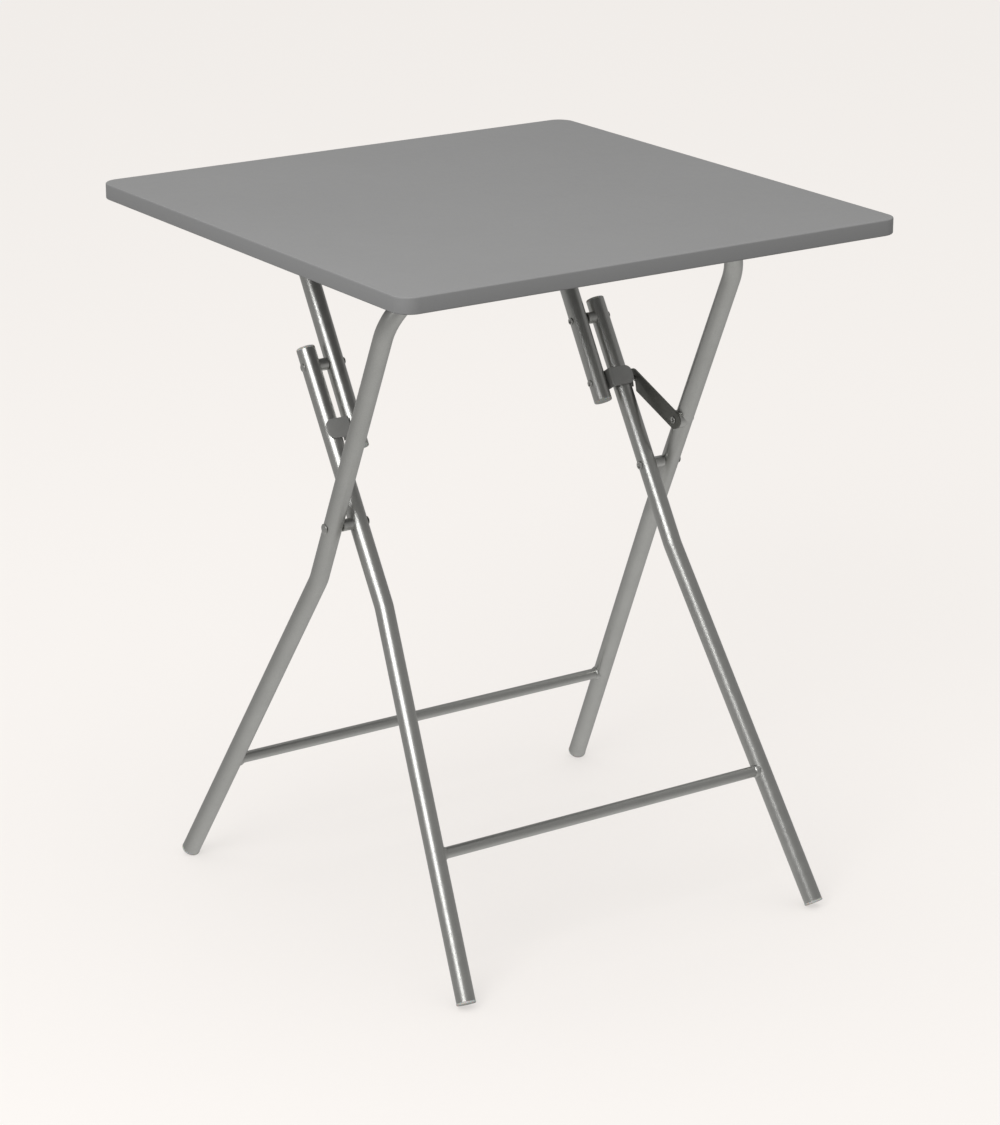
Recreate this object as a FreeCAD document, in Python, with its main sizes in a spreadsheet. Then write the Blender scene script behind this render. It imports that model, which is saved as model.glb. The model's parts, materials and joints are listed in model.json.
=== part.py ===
# Square folding table on three steel frames: an outer and a middle frame cross like scissors,
# a short frame holds up the rear of the top, and a hooked arm locks the legs open.
# X runs along the crossbars, Y from the front edge to the rear edge, Z up, millimetres.
# The origin is on the floor, under the middle of the top.
import FreeCAD, Part
import math
import os

import Sketcher
from FreeCAD import Placement, Rotation, Vector

SIZES = [
    ("table_height", 750, "floor to the upper face of the top"),
    ("top_width", 600, "top along X"),
    ("top_depth", 600, "top along Y"),
    ("top_thickness", 17, "thickness of the board"),
    ("top_corner_radius", 19, "corner radius seen from above"),
    ("top_edge_round", 1.5, "rounding of the board's upper and lower edges"),
    ("tube_diameter", 20, "outer diameter of every leg tube"),
    ("tube_wall", 1.2, "wall of every leg tube"),
    ("outer_top_bend", 68, "centreline radius of the outer frame's bends under the top"),
    ("short_top_bend", 38, "centreline radius of the short frame's bends under the top"),
    ("tube_leg_bend", 70, "centreline radius of the slight bends in the legs"),
    ("crossbar_diameter", 12, "outer diameter of the two crossbars"),
    ("crossbar_wall", 1.2, "wall of the two crossbars"),
    ("outer_crossbar_height", 132, "axis of the outer frame's crossbar above the floor"),
    ("middle_crossbar_height", 136, "axis of the middle frame's crossbar above the floor"),
    ("short_half_width", 155.5, "middle plane of the table to a leg axis of the short frame"),
    ("knee_gap", 9, "free gap between a short frame leg and a middle leg"),
    ("scissor_gap", 11, "free gap between a middle leg and an outer frame leg"),
    ("front_hinge_inset", 143, "front edge of the top to the axis of the front hinge"),
    ("rear_hinge_inset", 155, "rear edge of the top to the axis of the rear hinge"),
    ("bar_clearance", 0.5, "gap between a hinge bar and the underside of the top"),
    ("outer_reach", 312, "front hinge to the scissor pivot"),
    ("outer_upper_angle", 24.3, "lean of the outer legs above their bend, degrees"),
    ("outer_lower_angle", 29.5, "lean of the outer legs below their bend, degrees"),
    ("outer_splay_angle", 7.3, "sideways spread of the outer legs below their bend, degrees"),
    ("outer_bend_drop", 71, "scissor pivot to the bend of an outer leg"),
    ("over_centre_angle", 1, "how far the knee passes the straight line when it is open, degrees"),
    ("middle_lower_angle", 30.9, "lean of the middle legs below their bend, degrees"),
    ("middle_splay_angle", 6.3, "sideways spread of the middle legs below their bend, degrees"),
    ("middle_bend_drop", 92, "scissor pivot to the bend of a middle leg"),
    ("middle_top_reach", 18.3, "knee pivot to the upper end of a middle leg"),
    ("short_low_reach", 92, "knee pivot to the lower end of the short frame"),
    ("foot_radius", 10.2, "rim radius of a foot"),
    ("foot_thickness", 2.4, "thickness of a foot's rim"),
    ("foot_round", 1.2, "rounding of a foot's rim"),
    ("cap_thickness", 2.6, "thickness of an end cap's rim"),
    ("cap_round", 1.6, "rounding of an end cap's rim"),
    ("plug_length", 13, "length of the plug of a foot or an end cap"),
    ("plug_clearance", 0.05, "radial gap between a plug and the tube's bore"),
    ("pin_radius", 3, "shank radius of the rivets and of the lock stud"),
    ("pin_clearance", 0.06, "radial running clearance on a shank that turns"),
    ("side_clearance", 0.3, "gap along X between pieces that turn past each other"),
    ("rivet_head_radius", 4.5, "head radius of the knee, lock and catch rivets"),
    ("rivet_head_height", 1.2, "head height of the rivets"),
    ("scissor_head_radius", 5.5, "head radius of the scissor rivets"),
    ("knee_bush_radius", 6.5, "outer radius of the knee bushes"),
    ("scissor_bush_radius", 6.3, "outer radius of the scissor bushes"),
    ("catch_reach", 72, "knee pivot to the middle of a catch plate"),
    ("catch_height", 21, "height of a catch plate along the leg"),
    ("catch_thickness", 2, "sheet thickness of a catch plate"),
    ("catch_back", 8, "how far the catch flange reaches behind the leg axis"),
    ("catch_clearance", 0.3, "gap between a catch plate and the leg that it stops"),
    ("catch_corner", 8, "corner radius at the free end of a catch plate"),
    ("catch_bend", 1.8, "outside bend radius of a catch plate"),
    ("lock_pivot_reach", 58, "scissor pivot to the pivot of the lock arm"),
    ("lock_stud_reach", 97, "scissor pivot to the lock stud"),
    ("arm_gap", 2, "gap between the lock arm and the outer leg"),
    ("arm_thickness", 2.4, "thickness of the lock arm"),
    ("arm_width", 20, "width of the lock arm"),
    ("arm_overhang", 0.5, "lock stud to the centre of the arm's round end"),
    ("arm_slot_angle", 34.5, "slant of the slot from square across the arm, degrees"),
    ("arm_slot_clearance", 0.4, "gap each side between the slot and the stud"),
    ("lock_bush_radius", 10, "outer radius of the lock arm's bush"),
    ("stud_head_radius", 4.5, "head radius of the lock stud"),
    ("stud_head_height", 1.2, "head height of the lock stud"),
    ("hinge_clip_place", 90, "middle plane of the table to a hinge clip"),
    ("cradle_place", 122, "middle plane of the table to a front cradle"),
    ("clip_width", 24, "length of a clip or cradle along X"),
    ("clip_thickness", 2.5, "strap thickness of a hinge clip"),
    ("clip_foot", 15, "length of a clip's foot along Y"),
    ("clip_clearance", 0.3, "radial gap between a clip and its bar"),
    ("cradle_thickness", 4.5, "thickness of a front cradle's plate"),
    ("cradle_wall", 3, "thickness of a front cradle's rear wall"),
    ("cradle_wall_depth", 17, "underside of the top to the end of that wall"),
    ("screw_radius", 1.8, "shank radius of the screws"),
    ("screw_head_radius", 3.6, "head radius of the screws"),
    ("screw_head_height", 2, "head height of the screws"),
    ("screw_bite", 11, "how far a screw enters the board"),
]

X_AXIS = Vector(1, 0, 0)
Z_AXIS = Vector(0, 0, 1)
SIDES = (("left", -1), ("right", 1))

doc = FreeCAD.newDocument("folding_table")
sheet = doc.addObject("Spreadsheet::Sheet", "sizes")
for row, (alias, value, note) in enumerate(SIZES, start=1):
    sheet.set("A%d" % row, alias)
    sheet.set("B%d" % row, str(value))
    sheet.set("C%d" % row, note)
    sheet.setAlias("B%d" % row, alias)
doc.recompute()

nodes = []


def size(alias):
    """The number in the sheet's cell of this name."""
    return float(sheet.get(alias))


def value_of(expression):
    """The number that an expression on the sheet's cells gives."""
    return float(sheet.evalExpression(expression))


def keep(piece, label):
    """Name a finished piece and put it on the list of nodes."""
    piece.Label = label
    nodes.append(piece)
    return piece


def bind(piece, **expressions):
    """Tie properties of a piece to the sheet."""
    for name, expression in expressions.items():
        piece.setExpression(name, expression)
    return piece


# ---------------------------------------------------------------- where the pivots and legs lie

def lean(degrees):
    """Unit vector in the YZ plane, leaning this far from +Z towards +Y."""
    return Vector(0, math.sin(math.radians(degrees)), math.cos(math.radians(degrees)))


tube_radius = size("tube_diameter") / 2
bore_radius = tube_radius - size("tube_wall")
underside = size("table_height") - size("top_thickness")
bar_axis_height = underside - size("bar_clearance") - tube_radius

front_hinge = Vector(0, size("front_hinge_inset") - size("top_depth") / 2, bar_axis_height)
rear_hinge = Vector(0, size("top_depth") / 2 - size("rear_hinge_inset"), bar_axis_height)
outer_up = lean(-size("outer_upper_angle"))
scissor = front_hinge - outer_up * size("outer_reach")


def knee_pivot():
    """The knee's place: the four-bar loop folds flat, and open it stands just past straight."""
    spare = size("outer_reach") - (rear_hinge - front_hinge).Length
    stretch = (rear_hinge - scissor).Length
    bend_factor = 2 + 2 * math.cos(math.radians(size("over_centre_angle")))
    root = math.sqrt(spare ** 2 + 4 * (stretch ** 2 - spare ** 2) / bend_factor)
    middle_reach = (spare + root) / 2
    short_reach = middle_reach - spare
    along = (middle_reach ** 2 - short_reach ** 2 + stretch ** 2) / (2 * stretch)
    aside = math.sqrt(max(middle_reach ** 2 - along ** 2, 0))
    line = (rear_hinge - scissor) * (1 / stretch)
    return scissor + line * along + Vector(0, line.z, -line.y) * aside


knee = knee_pivot()
middle_up = (knee - scissor) * (1 / (knee - scissor).Length)
short_up = (rear_hinge - knee) * (1 / (rear_hinge - knee).Length)
middle_top = knee + middle_up * size("middle_top_reach")
short_low = knee - short_up * size("short_low_reach")

short_x = size("short_half_width")
middle_x = short_x + size("tube_diameter") + size("knee_gap")
outer_x = middle_x + size("tube_diameter") + size("scissor_gap")

lock_pivot = scissor + outer_up * size("lock_pivot_reach")
stud_place = scissor + middle_up * size("lock_stud_reach")
arm_line = stud_place - lock_pivot
arm_x = outer_x - tube_radius - size("arm_gap") - size("arm_thickness")


def at(x, point):
    """A point of the middle plane moved out to this X."""
    return Vector(x, point.y, point.z)


def leg_direction(sideways, backwards):
    """Unit vector down a lower leg, from its splay and its lean (positive to +Y)."""
    run = Vector(math.tan(math.radians(sideways)), math.tan(math.radians(backwards)), -1)
    return run * (1 / run.Length)


def foot_end(bend, direction):
    """The end of a leg tube whose foot just rests on the floor."""
    upright = -direction.z
    slope = math.sqrt(1 - upright ** 2)
    rounding = size("foot_round")
    height = (size("foot_thickness") - rounding) * upright
    height += (size("foot_radius") - rounding) * slope + rounding
    return bend + direction * ((bend.z - height) / upright)


def on_leg(bend, direction, height):
    """The point of a lower leg's axis at this height."""
    return bend + direction * ((bend.z - height) / -direction.z)


outer_down = leg_direction(size("outer_splay_angle"), size("outer_lower_angle"))
outer_bend = at(outer_x, scissor - outer_up * size("outer_bend_drop"))
outer_foot = foot_end(outer_bend, outer_down)

middle_down = leg_direction(size("middle_splay_angle"), -size("middle_lower_angle"))
middle_bend = at(middle_x, scissor - middle_up * size("middle_bend_drop"))
middle_foot = foot_end(middle_bend, middle_down)


def mirrored(vector, side):
    """A point or direction of the right half, on this side."""
    return Vector(side * vector.x, vector.y, vector.z)


# ---------------------------------------------------------------- shapes that repeat

def rod(points, bend_radii, radius):
    """A solid round bar along straight runs that tangent arcs join."""
    pieces = []
    start = points[0]
    for before, corner, after, bend in zip(points, points[1:], points[2:], bend_radii):
        arriving = (corner - before) * (1 / (corner - before).Length)
        leaving = (after - corner) * (1 / (after - corner).Length)
        turn = arriving.getAngle(leaving)
        setback = bend * math.tan(turn / 2)
        arc_start = corner - arriving * setback
        inward = leaving - arriving * leaving.dot(arriving)
        centre = arc_start + inward * (bend / inward.Length)
        disc = Part.Face(Part.Wire(Part.makeCircle(radius, start, arriving)))
        pieces.append(disc.extrude(arc_start - start))
        disc = Part.Face(Part.Wire(Part.makeCircle(radius, arc_start, arriving)))
        pieces.append(disc.revolve(centre, arriving.cross(leaving), math.degrees(turn)))
        start = corner + leaving * setback
    last = points[-1]
    disc = Part.Face(Part.Wire(Part.makeCircle(radius, start, last - start)))
    pieces.append(disc.extrude(last - start))
    return pieces[0].fuse(pieces[1:]).removeSplitter()


def pin_hole(radius, from_x, to_x, point):
    """A round cutter along X."""
    return Part.makeCylinder(radius, to_x - from_x, at(from_x, point), X_AXIS)


def feature(label, shape):
    """A piece whose shape is worked out here, because it bends in space."""
    piece = doc.addObject("Part::Feature", label)
    piece.Shape = shape
    piece.Placement = Placement()
    return piece


def frame_at(origin, z_direction, x_direction):
    """The placement of a local frame with these Z and X directions."""
    return Placement(origin, Rotation(x_direction, Vector(), z_direction, "ZXY"))


def plane_of(body, role):
    """One of a body's own origin planes."""
    return [item for item in body.Origin.OriginFeatures if item.Role == role][0]


def outline(body, role, corners):
    """A closed sketch through corners whose coordinates are expressions on the sheet."""
    sketch = body.newObject("Sketcher::SketchObject", body.Name + "_outline")
    sketch.AttachmentSupport = (plane_of(body, role), "")
    sketch.MapMode = "FlatFace"
    places = [Vector(value_of(x), value_of(y), 0) for x, y in corners]
    for start, end in zip(places, places[1:] + places[:1]):
        sketch.addGeometry(Part.LineSegment(start, end), False)
    for index, (x, y) in enumerate(corners):
        before = (index - 1) % len(corners)
        sketch.addConstraint(Sketcher.Constraint("Coincident", before, 2, index, 1))
        for kind, expression in (("DistanceX", x), ("DistanceY", y)):
            rule = Sketcher.Constraint(kind, -1, 1, index, 1, value_of(expression))
            number = sketch.addConstraint(rule)
            sketch.setExpression("Constraints[%d]" % number, expression)
    return sketch


def turned(label, corners):
    """A body turned about its Z axis from corners given as radius and height."""
    body = doc.addObject("PartDesign::Body", label)
    sketch = outline(body, "XZ_Plane", corners)
    turn = body.newObject("PartDesign::Revolution", label + "_turn")
    turn.Profile = sketch
    turn.ReferenceAxis = (sketch, ["V_Axis"])
    turn.Angle = 360
    doc.recompute()
    return body


def padded(label, corners, height):
    """A body raised from a flat outline in its XY plane."""
    body = doc.addObject("PartDesign::Body", label)
    sketch = outline(body, "XY_Plane", corners)
    pad = body.newObject("PartDesign::Pad", label + "_pad")
    pad.Profile = sketch
    bind(pad, Length=height)
    doc.recompute()
    return body


def rounded(body, radius, wanted):
    """Round the edges of a body that the test picks."""
    base = body.Tip
    names = ["Edge%d" % (index + 1) for index, edge in enumerate(base.Shape.Edges) if wanted(edge)]
    fillet = body.newObject("PartDesign::Fillet", body.Name + "_round")
    fillet.Base = (base, names)
    bind(fillet, Radius=radius)
    doc.recompute()
    return body


def rim_at(radius, *heights):
    """A test for the circular edges of this radius at these heights."""
    def wanted(edge):
        curve = edge.Curve
        if not isinstance(curve, Part.Circle) or abs(curve.Radius - radius) > 1e-6:
            return False
        return any(abs(curve.Center.z - height) < 1e-6 for height in heights)
    return wanted


def along(direction, *tests):
    """A test for straight edges in this direction whose middles pass the other tests."""
    def wanted(edge):
        if not isinstance(edge.Curve, Part.Line):
            return False
        if abs(abs(edge.Curve.Direction.dot(direction)) - 1) > 1e-6:
            return False
        return all(test(edge.CenterOfMass) for test in tests)
    return wanted


def cylinder(name, radius, height, placement):
    """A round primitive with bound sizes, its axis along the placement's Z."""
    piece = doc.addObject("Part::Cylinder", name)
    bind(piece, Radius=radius, Height=height)
    piece.Placement = placement
    return piece


def block(name, length, width, height, placement):
    """A square primitive with bound sizes, its corner at the placement."""
    piece = doc.addObject("Part::Box", name)
    bind(piece, Length=length, Width=width, Height=height)
    piece.Placement = placement
    return piece


def fused(name, shapes):
    """Several shapes made one."""
    piece = doc.addObject("Part::MultiFuse", name)
    piece.Shapes = shapes
    return piece


def cut(name, base, tool):
    """One shape less another."""
    piece = doc.addObject("Part::Cut", name)
    piece.Base = base
    piece.Tool = tool
    return piece


# ---------------------------------------------------------------- the three frames

def add_outer_frame():
    """One tube bent into a U, a crossbar low between its legs, and two feet."""
    half = [outer_foot, outer_bend, at(outer_x, front_hinge)]
    path = half + [mirrored(point, -1) for point in reversed(half)]
    bends = [size("tube_leg_bend"), size("outer_top_bend"), size("outer_top_bend"), size("tube_leg_bend")]
    core = rod(path, bends, tube_radius)
    shell = core.cut(rod(path, bends, bore_radius))
    running = size("pin_radius") + size("pin_clearance")
    reach = outer_x + 2 * tube_radius
    shell = shell.cut(pin_hole(running, -reach, reach, scissor))
    shell = shell.cut(pin_hole(size("pin_radius"), 0, reach, lock_pivot))
    keep(feature("outer_frame_tube", shell), "outer_frame_tube")
    add_crossbar("outer_crossbar", on_leg(outer_bend, outer_down, size("outer_crossbar_height")), core)
    for name, side in SIDES:
        add_end_piece("outer_foot_" + name, mirrored(outer_foot, side), mirrored(outer_down, side), "foot")


def add_middle_frame():
    """Two separate bent legs, a crossbar between them, two feet and two top caps."""
    cores = []
    stud_hole = pin_hole(size("pin_radius"), middle_x, middle_x + 2 * tube_radius, stud_place)
    for name, side in SIDES:
        path = [mirrored(point, side) for point in (middle_foot, middle_bend, at(middle_x, middle_top))]
        bends = [size("tube_leg_bend")]
        core = rod(path, bends, tube_radius)
        shell = core.cut(rod(path, bends, bore_radius))
        reach = middle_x + 2 * tube_radius
        for pivot in (scissor, knee):
            shell = shell.cut(pin_hole(size("pin_radius"), -reach, reach, pivot))
        if side > 0:
            shell = shell.cut(stud_hole)
        keep(feature("middle_leg_" + name, shell), "middle_leg_" + name)
        cores.append(core)
        add_end_piece("middle_foot_" + name, mirrored(middle_foot, side), mirrored(middle_down, side), "foot")
        add_end_piece("middle_cap_" + name, at(side * middle_x, middle_top), middle_up, "cap")
    crossbar_end = on_leg(middle_bend, middle_down, size("middle_crossbar_height"))
    add_crossbar("middle_crossbar", crossbar_end, cores[0].fuse(cores[1]))


def add_short_frame():
    """A short U whose bar hinges under the rear of the top, with capped lower ends."""
    half = [at(short_x, short_low), at(short_x, rear_hinge)]
    path = half + [mirrored(point, -1) for point in reversed(half)]
    bends = [size("short_top_bend")] * 2
    shell = rod(path, bends, tube_radius).cut(rod(path, bends, bore_radius))
    running = size("pin_radius") + size("pin_clearance")
    reach = short_x + 2 * tube_radius
    shell = shell.cut(pin_hole(running, -reach, reach, knee))
    shell = shell.cut(pin_hole(size("pin_radius"), -reach, reach, knee - short_up * size("catch_reach")))
    keep(feature("short_frame_tube", shell), "short_frame_tube")
    for name, side in SIDES:
        add_end_piece("short_cap_" + name, at(side * short_x, short_low), short_up * -1, "cap")


def add_crossbar(label, end, legs):
    """A tube between two legs, its ends shaped to sit against them."""
    start = frame_at(mirrored(end, -1), X_AXIS, Z_AXIS)
    length = "%.9f" % (2 * end.x)
    bar = cylinder(label + "_bar", "sizes.crossbar_diameter / 2", length, start)
    hollow = cylinder(label + "_bore", "sizes.crossbar_diameter / 2 - sizes.crossbar_wall", length, start)
    keep(cut(label, cut(label + "_pipe", bar, hollow), feature(label + "_legs", legs)), label)


def add_end_piece(label, end, outward, kind):
    """A moulded plug in a tube's end: a foot or a cap, its rim flush on the cut end."""
    rim = "sizes.foot_radius" if kind == "foot" else "sizes.tube_diameter / 2"
    thickness = "sizes.%s_thickness" % kind
    plug = "sizes.tube_diameter / 2 - sizes.tube_wall - sizes.plug_clearance"
    corners = [("0", "-sizes.plug_length"), (plug, "-sizes.plug_length"), (plug, "0")]
    corners += [(rim, "0"), (rim, thickness), ("0", thickness)]
    body = turned(label, corners)
    rounded(body, "sizes.%s_round" % kind, rim_at(value_of(rim), value_of(thickness)))
    body.Placement = frame_at(end, outward, X_AXIS)
    keep(body, label)


# ---------------------------------------------------------------- rivets, bushes and the catch

def add_rivet(label, point, start_x, side, grip, head="sizes.rivet_head_radius"):
    """A rivet along X with a rounded head outside each end of its grip."""
    shank = "sizes.pin_radius"
    rise = "sizes.rivet_head_height"
    tail = "%s + %s" % (grip, rise)
    corners = [("0", "-" + rise), (head, "-" + rise), (head, "0"), (shank, "0")]
    corners += [(shank, grip), (head, grip), (head, tail), ("0", tail)]
    body = turned(label, corners)
    rounded(body, "%s * 0.8" % rise, rim_at(value_of(head), -value_of(rise), value_of(tail)))
    body.Placement = frame_at(at(side * start_x, point), X_AXIS * side, Z_AXIS)
    keep(body, label)


def add_bush(label, point, from_x, to_x, radius, leg_x, leg_up, side):
    """A spacer ring between two crossing tubes, hollowed to sit on the tube that it stays with."""
    start = frame_at(at(side * from_x, point), X_AXIS * side, Z_AXIS)
    length = "%.9f" % (to_x - from_x)
    ring = cylinder(label + "_ring", radius, length, start)
    hole = cylinder(label + "_hole", "sizes.pin_radius", length, start)
    seat_start = at(side * leg_x, point) - leg_up * size("tube_diameter")
    seat = cylinder(label + "_seat", "sizes.tube_diameter / 2", "2 * sizes.tube_diameter",
                    frame_at(seat_start, leg_up, X_AXIS))
    keep(cut(label, ring, fused(label + "_cutter", [hole, seat])), label)


def add_pivots():
    """Rivet and bush of the scissor and of the knee, on both sides."""
    gap = size("side_clearance")
    for name, side in SIDES:
        add_rivet("scissor_rivet_" + name, scissor, middle_x - tube_radius, side,
                  "2 * sizes.tube_diameter + sizes.scissor_gap + sizes.side_clearance",
                  "sizes.scissor_head_radius")
        add_bush("scissor_bush_" + name, scissor, middle_x, outer_x - tube_radius - gap,
                 "sizes.scissor_bush_radius", middle_x, middle_up, side)
        add_rivet("knee_rivet_" + name, knee, short_x - tube_radius - gap, side,
                  "2 * sizes.tube_diameter + sizes.knee_gap + sizes.side_clearance")
        add_bush("knee_bush_" + name, knee, short_x + tube_radius + gap, middle_x,
                 "sizes.knee_bush_radius", middle_x, middle_up, side)


def add_catches():
    """Bent plates on the short frame that stop against the front of the middle legs."""
    for name, side in SIDES:
        label = "catch_plate_" + name
        front = "%d * " % -side
        inner = "sizes.tube_diameter / 2"
        wing = "%s + sizes.catch_thickness" % inner
        reach = "%s + sizes.knee_gap + sizes.tube_diameter" % inner
        near = front + "(sizes.tube_diameter / 2 + sizes.catch_clearance)"
        far = front + "(sizes.tube_diameter / 2 + sizes.catch_clearance + sizes.catch_thickness)"
        back = "%d * sizes.catch_back" % side
        corners = [(inner, back), (wing, back), (wing, near), (reach, near), (reach, far), (inner, far)]
        body = padded(label + "_sheet", corners, "sizes.catch_height")
        inner_x = value_of(inner)
        far_y = value_of(far)
        rounded(body, "sizes.catch_bend", along(Z_AXIS, lambda middle: abs(middle.x - inner_x) < 1e-6,
                                                lambda middle: abs(middle.y - far_y) < 1e-6))
        reach_x = value_of(reach)
        rounded(body, "sizes.catch_corner", along(Vector(0, 1, 0),
                                                  lambda middle: abs(middle.x - reach_x) < 1e-6))
        origin = knee - middle_up * (size("catch_reach") + size("catch_height") / 2)
        body.Placement = frame_at(at(side * short_x, origin), middle_up, X_AXIS * side)
        drilled = knee - short_up * size("catch_reach")
        hole = cylinder(label + "_hole", "sizes.pin_radius", "2 * sizes.tube_diameter",
                        frame_at(at(side * short_x, drilled), X_AXIS * side, Z_AXIS))
        keep(cut(label, body, hole), label)
        add_rivet("catch_rivet_" + name, drilled, short_x - tube_radius, side,
                  "sizes.tube_diameter + sizes.catch_thickness")


# ---------------------------------------------------------------- the lock arm

def add_lock():
    """The hooked arm on the right side, with its rivet, its bush and the stud that it drops over."""
    direction = arm_line * (1 / arm_line.Length)
    frame = frame_at(at(arm_x, lock_pivot), X_AXIS, direction)
    length = "%.9f" % arm_line.Length
    end = arm_line.Length + size("arm_overhang")
    thick = "sizes.arm_thickness"
    half = size("arm_width") / 2
    start = frame.multiply(Placement(Vector(0, -half, 0), Rotation()))
    bar = block("arm_bar", length + " + sizes.arm_overhang", "sizes.arm_width", thick, start)
    tip = frame.multiply(Placement(Vector(end, 0, 0), Rotation()))
    root_end = cylinder("arm_root", "sizes.arm_width / 2", thick, frame)
    tip_end = cylinder("arm_tip", "sizes.arm_width / 2", thick, tip)
    eye = cylinder("arm_eye", "sizes.pin_radius + sizes.pin_clearance", thick, frame)
    seat = frame.multiply(Placement(Vector(arm_line.Length, 0, 0), Rotation()))
    play = "sizes.pin_radius + sizes.arm_slot_clearance"
    round_end = cylinder("arm_slot_end", play, thick, seat)
    slant = Rotation(Z_AXIS, -90 - size("arm_slot_angle"))
    mouth_frame = seat.multiply(Placement(Vector(), slant))
    mouth_start = mouth_frame.multiply(Placement(Vector(0, -value_of(play), 0), Rotation()))
    mouth = block("arm_slot_mouth", "sizes.arm_width", "2 * (%s)" % play, thick, mouth_start)
    blank = fused("arm_blank", [bar, root_end, tip_end])
    keep(cut("lock_arm", blank, fused("arm_cutter", [eye, round_end, mouth])), "lock_arm")

    gap = size("side_clearance")
    add_rivet("lock_rivet", lock_pivot, arm_x - gap, 1,
              "sizes.side_clearance + sizes.arm_thickness + sizes.arm_gap + sizes.tube_diameter")
    add_bush("lock_bush", lock_pivot, arm_x + size("arm_thickness") + gap, outer_x,
             "sizes.lock_bush_radius", outer_x, outer_up, 1)
    add_stud()


def add_stud():
    """A headed stud in the outer wall of the right middle leg."""
    shank = "sizes.pin_radius"
    head = "sizes.stud_head_radius"
    shoulder = "sizes.tube_wall + sizes.scissor_gap - sizes.arm_gap + sizes.side_clearance"
    crown = shoulder + " + sizes.stud_head_height"
    corners = [("0", "0"), (shank, "0"), (shank, shoulder), (head, shoulder), (head, crown), ("0", crown)]
    body = turned("lock_stud", corners)
    rounded(body, "sizes.stud_head_height * 0.6", rim_at(value_of(head), value_of(crown)))
    body.Placement = frame_at(at(middle_x + bore_radius, stud_place), X_AXIS, Z_AXIS)
    keep(body, "lock_stud")


# ---------------------------------------------------------------- the top and what holds it

def screw_places(hinge, bar_place, offsets):
    """Where the screws of a pair of clips enter the board."""
    return [Vector(side * bar_place, hinge.y + offset, underside) for _, side in SIDES for offset in offsets]


def add_screws(label, places, grip):
    """Pan-head screws from below, as one group."""
    shank = "sizes.screw_radius"
    head = "sizes.screw_head_radius"
    under = "-" + grip
    low = "-(%s + sizes.screw_head_height)" % grip
    corners = [("0", low), (head, low), (head, under), (shank, under), (shank, "sizes.screw_bite")]
    corners += [("0", "sizes.screw_bite")]
    bodies = []
    for index, place in enumerate(places, start=1):
        body = turned("%s_%d" % (label, index), corners)
        rounded(body, "sizes.screw_head_height * 0.7", rim_at(value_of(head), value_of(low)))
        body.Placement = Placement(place, Rotation())
        bodies.append(body)
    group = doc.addObject("Part::Compound", label)
    group.Links = bodies
    keep(group, label)


def add_screw_holes(label, base, places, depth, start_drop):
    """Drill round holes upwards from a little below the underside of the top."""
    holes = []
    for index, place in enumerate(places, start=1):
        start = Placement(place - Z_AXIS * start_drop, Rotation())
        holes.append(cylinder("%s_hole_%d" % (label, index), "sizes.screw_radius", depth, start))
    return cut(label + "_drilled", base, fused(label + "_holes", holes))


def add_top(places):
    """The square board with rounded corners, softened edges and blind screw holes."""
    half_x = "sizes.top_width / 2"
    half_y = "sizes.top_depth / 2"
    corners = [("-" + half_x, "-" + half_y), (half_x, "-" + half_y), (half_x, half_y), ("-" + half_x, half_y)]
    body = padded("tabletop_board", corners, "sizes.top_thickness")
    rounded(body, "sizes.top_corner_radius", along(Z_AXIS))
    rounded(body, "sizes.top_edge_round", lambda edge: abs(edge.tangentAt(edge.FirstParameter).z) < 1e-6)
    body.Placement = Placement(Vector(0, 0, underside), Rotation())
    keep(add_screw_holes("tabletop", body, places, "sizes.screw_bite", 0), "tabletop_panel")


def add_hinge_clip(label, side, places):
    """A strap bent round the rear bar, with a screwed foot in front and behind."""
    middle = Vector(side * size("hinge_clip_place"), rear_hinge.y, rear_hinge.z)
    start_x = middle.x - size("clip_width") / 2
    inner = "(sizes.tube_diameter / 2 + sizes.clip_clearance)"
    outer = "(%s + sizes.clip_thickness)" % inner
    rise = "(sizes.tube_diameter / 2 + sizes.bar_clearance)"
    width = "sizes.clip_width"
    across = frame_at(Vector(start_x, middle.y, middle.z), X_AXIS, Z_AXIS)
    outer_y = value_of(outer)
    inner_y = value_of(inner)
    span = "2 * (%s + sizes.clip_foot)" % outer
    half_span = value_of(span) / 2
    foot_z = underside - size("clip_thickness")
    solid = [
        cylinder(label + "_round", outer, width, across),
        block(label + "_neck", width, "2 * " + outer, rise,
              Placement(Vector(start_x, middle.y - outer_y, middle.z), Rotation())),
        block(label + "_feet", width, span, "sizes.clip_thickness",
              Placement(Vector(start_x, middle.y - half_span, foot_z), Rotation())),
    ]
    space = [
        cylinder(label + "_bore", inner, width, across),
        block(label + "_throat", width, "2 * " + inner, rise,
              Placement(Vector(start_x, middle.y - inner_y, middle.z), Rotation())),
        block(label + "_above", width, "2 * " + outer, outer,
              Placement(Vector(start_x, middle.y - outer_y, underside), Rotation())),
    ]
    strap = cut(label + "_strap", fused(label + "_solid", solid), fused(label + "_space", space))
    own = [place for place in places if abs(place.x - middle.x) < size("clip_width")]
    drop = size("clip_thickness")
    keep(add_screw_holes(label, strap, own, "sizes.clip_thickness", drop), label)


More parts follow.
